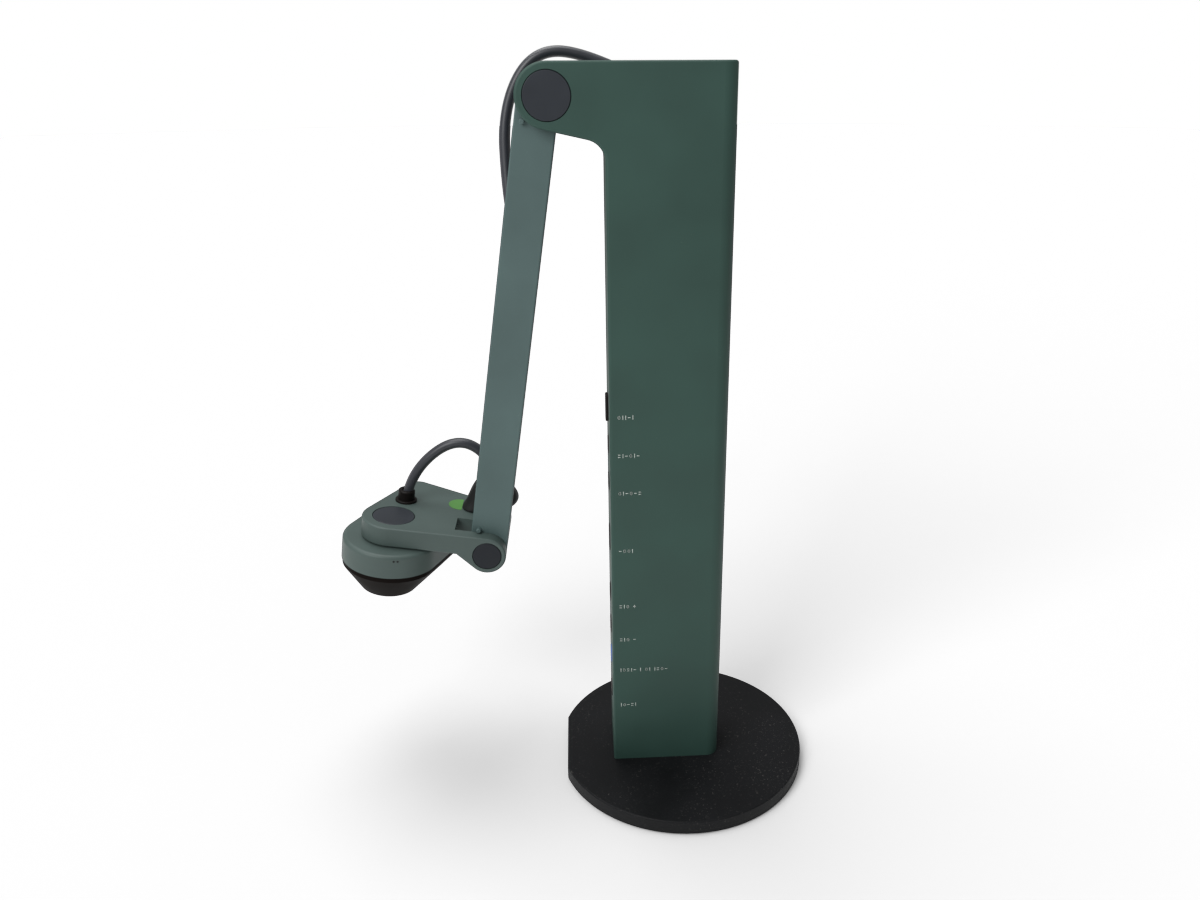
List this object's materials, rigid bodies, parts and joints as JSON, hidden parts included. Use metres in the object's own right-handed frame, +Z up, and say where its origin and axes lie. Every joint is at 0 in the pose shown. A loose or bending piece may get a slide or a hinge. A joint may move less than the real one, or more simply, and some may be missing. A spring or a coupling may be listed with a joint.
{
  "type": "book scanner",
  "caption": "Dark green document camera: a folding arm with a camera and lamp head on a tall column with push buttons and a round weighted base",
  "frame": {"origin": "centre of the round base on its underside", "axes": "+Z up along the column; -X towards the side the arm and camera hang on; -Y towards the side of the column that carries the printed marks"},
  "size_m": [0.2233, 0.124, 0.3435],
  "materials": {
    "green_casing": "matt dark green textured paint",
    "green_arm": "matt grey-green textured paint",
    "black_base": "matt black powder coat",
    "rubber_black": "matt moulded rubber",
    "dark_caps": "satin charcoal plastic",
    "black_plastic": "matt black plastic",
    "blue_button": "satin blue plastic",
    "steel_fasteners": "zinc-plated steel",
    "bronze_bushes": "plain bearing bronze",
    "cast_metal": "cast aluminium",
    "circuit_board": "glass-fibre circuit board",
    "socket_metal": "tinned sheet steel",
    "lens_glass": "clear coated glass",
    "milky_diffuser": "milky plastic",
    "cable_jacket": "satin black cable jacket",
    "sticker_green": "matt green sticker"
  },
  "bodies": {
    "stand": {"base_pad": "rubber_black", "base_plate": "black_base", "base_screws": "steel_fasteners", "button_board": "circuit_board", "button_strip": "green_casing", "column_far_shell": "green_casing", "column_foot": "cast_metal", "column_lead_hood": "rubber_black", "column_near_shell": "green_casing", "column_shell_screws": "steel_fasteners", "column_spine": "steel_fasteners", "data_socket": "socket_metal", "main_board": "circuit_board", "port_panel": "black_plastic", "shoulder_cap_far": "dark_caps", "shoulder_cap_near": "dark_caps", "shoulder_nut": "steel_fasteners", "shoulder_pin": "steel_fasteners", "shoulder_washers": "steel_fasteners", "upper_lead": "cable_jacket", "video_socket": "socket_metal"},
    "button_light": {"button_light": "black_plastic"},
    "button_filter": {"button_filter": "black_plastic"},
    "button_rotate": {"button_rotate": "black_plastic"},
    "button_zoom": {"button_zoom": "black_plastic"},
    "button_exposure_up": {"button_exposure_up": "black_plastic"},
    "button_exposure_down": {"button_exposure_down": "black_plastic"},
    "button_focus": {"button_focus": "blue_button"},
    "button_power": {"button_power": "black_plastic"},
    "arm": {"arm_bar": "green_arm", "arm_cover": "green_arm", "arm_cover_screws": "steel_fasteners", "arm_stop_pegs": "steel_fasteners", "arm_bushes": "bronze_bushes", "arm_lead_hood": "rubber_black"},
    "bracket": {"bracket_body": "green_casing", "bracket_under_cover": "green_casing", "bracket_screws": "steel_fasteners", "bracket_gland": "black_plastic", "bracket_lead_boot": "rubber_black", "bracket_sticker": "sticker_green", "elbow_pin": "steel_fasteners", "elbow_washers": "steel_fasteners", "elbow_nut": "steel_fasteners", "elbow_cap_near": "dark_caps", "elbow_cap_far": "dark_caps", "lower_lead": "cable_jacket", "swivel_pin": "steel_fasteners", "swivel_washers": "steel_fasteners", "swivel_nut": "steel_fasteners", "swivel_spacer": "black_plastic", "swivel_cap": "dark_caps"},
    "head": {"head_shell": "green_casing", "head_bezel": "black_plastic", "cover_glass": "lens_glass", "lens_barrel": "black_plastic", "lens_elements": "lens_glass", "sensor_board": "circuit_board", "lamp_diffuser": "milky_diffuser", "lamp_board": "circuit_board"}
  },
  "joints": [
    {"name": "shoulder", "type": "hinge", "parent": "stand", "child": "arm", "pos_m": [-0.0579, 0, 0.3247], "axis": [0, 1, 0], "range_deg": [-8, 138], "deforming": ["upper_lead"]},
    {"name": "elbow", "type": "hinge", "parent": "arm", "child": "bracket", "pos_m": [-0.09257, 0, 0.12526], "axis": [0, -1, 0], "range_deg": [0, 125]},
    {"name": "head_swivel", "type": "hinge", "parent": "bracket", "child": "head", "pos_m": [-0.13733, -0.0013, 0.13227], "axis": [0.1547, 0, 0.988], "range_deg": [0, 110]},
    {"name": "press_light", "type": "slide", "parent": "stand", "child": "button_light", "axis": [1, 0, 0], "range_m": [0, 0.0006], "stiffness_N_per_m": 600},
    {"name": "press_filter", "type": "slide", "parent": "stand", "child": "button_filter", "axis": [1, 0, 0], "range_m": [0, 0.0006], "stiffness_N_per_m": 600},
    {"name": "press_rotate", "type": "slide", "parent": "stand", "child": "button_rotate", "axis": [1, 0, 0], "range_m": [0, 0.0006], "stiffness_N_per_m": 600},
    {"name": "press_zoom", "type": "slide", "parent": "stand", "child": "button_zoom", "axis": [1, 0, 0], "range_m": [0, 0.0006], "stiffness_N_per_m": 600},
    {"name": "press_exposure_up", "type": "slide", "parent": "stand", "child": "button_exposure_up", "axis": [1, 0, 0], "range_m": [0, 0.0006], "stiffness_N_per_m": 600},
    {"name": "press_exposure_down", "type": "slide", "parent": "stand", "child": "button_exposure_down", "axis": [1, 0, 0], "range_m": [0, 0.0006], "stiffness_N_per_m": 600},
    {"name": "press_focus", "type": "slide", "parent": "stand", "child": "button_focus", "axis": [1, 0, 0], "range_m": [0, 0.0006], "stiffness_N_per_m": 600},
    {"name": "press_power", "type": "slide", "parent": "stand", "child": "button_power", "axis": [1, 0, 0], "range_m": [0, 0.0006], "stiffness_N_per_m": 600}
  ]
}
